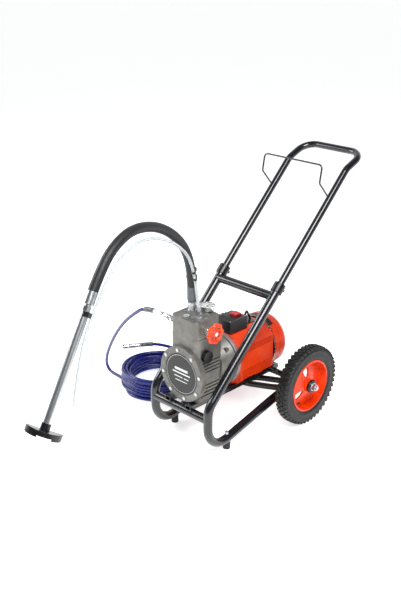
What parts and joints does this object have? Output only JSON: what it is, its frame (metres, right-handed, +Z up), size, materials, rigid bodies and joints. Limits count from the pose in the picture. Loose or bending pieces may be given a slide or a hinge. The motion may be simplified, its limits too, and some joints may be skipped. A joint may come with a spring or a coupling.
{
  "type": "airless paint sprayer",
  "caption": "Diaphragm-pump airless paint sprayer on a two-wheel tube trolley with telescopic handle, suction set with strainer, coiled paint hose and mains lead.",
  "frame": {"origin": "on the floor, under the middle of the trolley's overall length and width, hoses and leads left out", "axes": "+Z up, +Y from the pump's round front cover towards the handle, +X towards the relief valve's handwheel"},
  "size_m": [0.8789, 1.5139, 0.936],
  "materials": {
    "frame_black": "satin black powder coat",
    "zinc_steel": "bright zinc plated steel",
    "black_rubber": "matt black rubber",
    "black_plastic": "moulded black plastic",
    "tyre_rubber": "treaded tyre rubber",
    "orange_plastic": "glossy orange moulding",
    "orange_paint": "orange enamel on cast and pressed metal",
    "cast_grey": "bead blasted cast aluminium",
    "core_steel": "machined steel",
    "red_plastic": "glossy red moulding",
    "brass": "turned brass, nickel washed",
    "chrome": "polished chrome",
    "hose_black": "matt black hose cover",
    "pipe_aluminium": "bright drawn aluminium tube",
    "clear_tube": "clear flexible tube",
    "hose_blue": "smooth blue hose jacket",
    "cable_black": "black rubber cable sheath"
  },
  "bodies": {
    "trolley": {"side_tube_left": "frame_black", "side_tube_right": "frame_black", "front_crossbar": "frame_black", "upper_crossbar": "frame_black", "deck_rail_left": "frame_black", "deck_rail_right": "frame_black", "axle_tube": "frame_black", "axle_rod": "zinc_steel", "rubber_feet": "black_rubber", "foot_bolts": "zinc_steel", "clamp_collars": "black_plastic", "axle_nuts": "zinc_steel", "motor_housing": "orange_paint", "bell_housing": "cast_grey", "stator": "core_steel", "rear_shield": "black_plastic", "shaft_bearings": "core_steel", "fan_cover": "orange_paint", "lifting_eye": "frame_black", "switch_box": "black_plastic", "switch_lid": "black_plastic", "pump_body": "cast_grey", "front_cover": "cast_grey", "cover_screws": "zinc_steel", "head_block": "cast_grey", "head_screws": "zinc_steel", "diaphragm": "black_rubber", "piston_spring": "core_steel", "valve_plugs": "zinc_steel", "relief_stem": "brass", "gauge_case": "chrome", "oil_cap": "black_plastic", "outlet_nipple": "zinc_steel", "suction_fitting": "zinc_steel", "suction_hose": "hose_black", "suction_coupling": "zinc_steel", "suction_pipe": "pipe_aluminium", "strainer": "black_plastic", "hose_clips": "black_plastic", "return_tube": "clear_tube", "paint_hose": "hose_blue", "paint_hose_tail": "hose_blue", "hose_couplings": "zinc_steel", "paint_hose_coil": "hose_blue", "mains_cable": "cable_black", "mains_hank": "cable_black", "mains_plug": "black_rubber"},
    "wheel_left": {"tyre_left": "tyre_rubber", "rim_left": "orange_plastic"},
    "wheel_right": {"tyre_right": "tyre_rubber", "rim_right": "orange_plastic"},
    "handle": {"handle_bar": "frame_black", "wire_rack": "frame_black"},
    "rotor": {"rotor_core": "core_steel", "drive_shaft": "core_steel", "cooling_fan": "black_plastic"},
    "piston": {"piston": "core_steel"},
    "relief_knob": {"relief_knob": "orange_plastic"},
    "switch_button": {"switch_button": "red_plastic"},
    "gauge_needle": {"gauge_needle": "black_plastic"}
  },
  "joints": [
    {"name": "wheel_left_spin", "type": "hinge", "parent": "trolley", "child": "wheel_left", "pos_m": [-0.205, 0.03348, 0.15], "axis": [1, 0, 0], "continuous": true},
    {"name": "wheel_right_spin", "type": "hinge", "parent": "trolley", "child": "wheel_right", "pos_m": [0.205, 0.03348, 0.15], "axis": [1, 0, 0], "continuous": true},
    {"name": "handle_slide", "type": "slide", "parent": "trolley", "child": "handle", "axis": [0, -0.7108, -0.7034], "range_m": [0, 0.28]},
    {"name": "motor_spin", "type": "hinge", "parent": "trolley", "child": "rotor", "pos_m": [0, -0.20052, 0.274], "axis": [0, 1, 0], "continuous": true},
    {"name": "piston_stroke", "type": "slide", "parent": "trolley", "child": "piston", "axis": [0, 0, 1], "range_m": [0, 0.006], "stiffness_N_per_m": 3000, "springref_m": -0.004, "deforming": ["piston_spring"]},
    {"name": "relief_knob_turn", "type": "hinge", "parent": "trolley", "child": "relief_knob", "pos_m": [0.0965, -0.34352, 0.442], "axis": [1, 0, 0], "range_deg": [0, 270]},
    {"name": "switch_press", "type": "slide", "parent": "trolley", "child": "switch_button", "axis": [0, 0, 1], "range_m": [-0.003, 0], "stiffness_N_per_m": 600, "springref_m": 0.001},
    {"name": "gauge_needle_turn", "type": "hinge", "parent": "trolley", "child": "gauge_needle", "pos_m": [0, -0.27152, 0.487], "axis": [0, 0, 1], "range_deg": [-270, 0], "stiffness_Nm_per_rad": 0.001}
  ]
}
